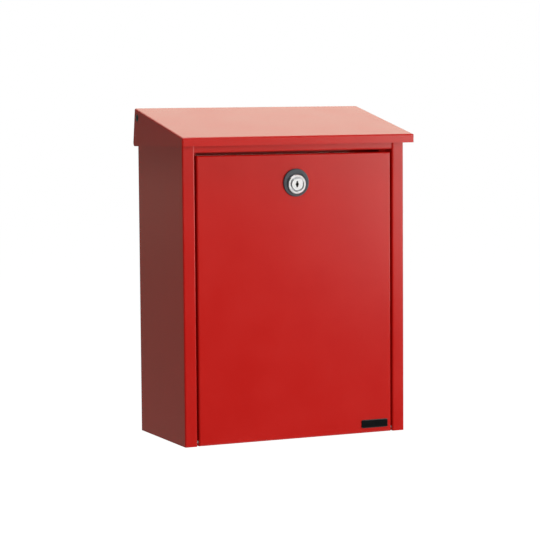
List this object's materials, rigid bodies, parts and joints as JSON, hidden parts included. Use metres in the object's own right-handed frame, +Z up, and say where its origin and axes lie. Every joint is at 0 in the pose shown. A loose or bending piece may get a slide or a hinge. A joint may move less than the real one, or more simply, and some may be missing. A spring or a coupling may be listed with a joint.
{
  "type": "wall letter box",
  "caption": "Wall-mounted sheet-steel letter box with a sloping top-hinged lid over the mail slot, a drop-down front door and a cam lock.",
  "frame": {"origin": "middle of the four wall holes, on the back's outer face", "axes": "+X to the right as seen from the front, +Y from the front to the wall, +Z up"},
  "size_m": [0.2836, 0.151, 0.37],
  "materials": {
    "red_paint": "satin powder coat",
    "black_nylon": "moulded, slight sheen",
    "dark_rosette": "moulded, satin",
    "black_badge": "plain, satin",
    "lock_chrome": "satin nickel plate",
    "zinc_steel": "bright zinc plate",
    "spring_steel": "spring steel"
  },
  "bodies": {
    "box": {"body_shell": "red_paint", "bottom_tray": "red_paint", "top_rail": "red_paint", "slot_plate": "red_paint", "door_pin_left": "zinc_steel", "door_pin_right": "zinc_steel"},
    "lid": {"lid": "red_paint", "lid_pivot_left": "black_nylon", "lid_pivot_right": "black_nylon", "lid_clip_left": "spring_steel", "lid_clip_right": "spring_steel"},
    "door": {"door": "red_paint", "badge_plate": "black_badge", "lock_rosette": "dark_rosette", "lock_housing": "lock_chrome", "lock_washer": "zinc_steel", "lock_nut": "zinc_steel"},
    "lock_core": {"lock_plug": "lock_chrome", "cam_lever": "zinc_steel", "cam_washer": "zinc_steel", "cam_screw": "zinc_steel"}
  },
  "joints": [
    {"name": "lid_hinge", "type": "hinge", "parent": "box", "child": "lid", "pos_m": [0, -0.014, 0.17926], "axis": [-1, 0, 0], "range_deg": [0, 95]},
    {"name": "door_hinge", "type": "hinge", "parent": "box", "child": "door", "pos_m": [0, -0.1315, -0.1755], "axis": [1, 0, 0], "range_deg": [0, 180]},
    {"name": "lock_turn", "type": "hinge", "parent": "door", "child": "lock_core", "pos_m": [0, -0.136, 0.10535], "axis": [0, 1, 0], "range_deg": [0, 180]}
  ]
}
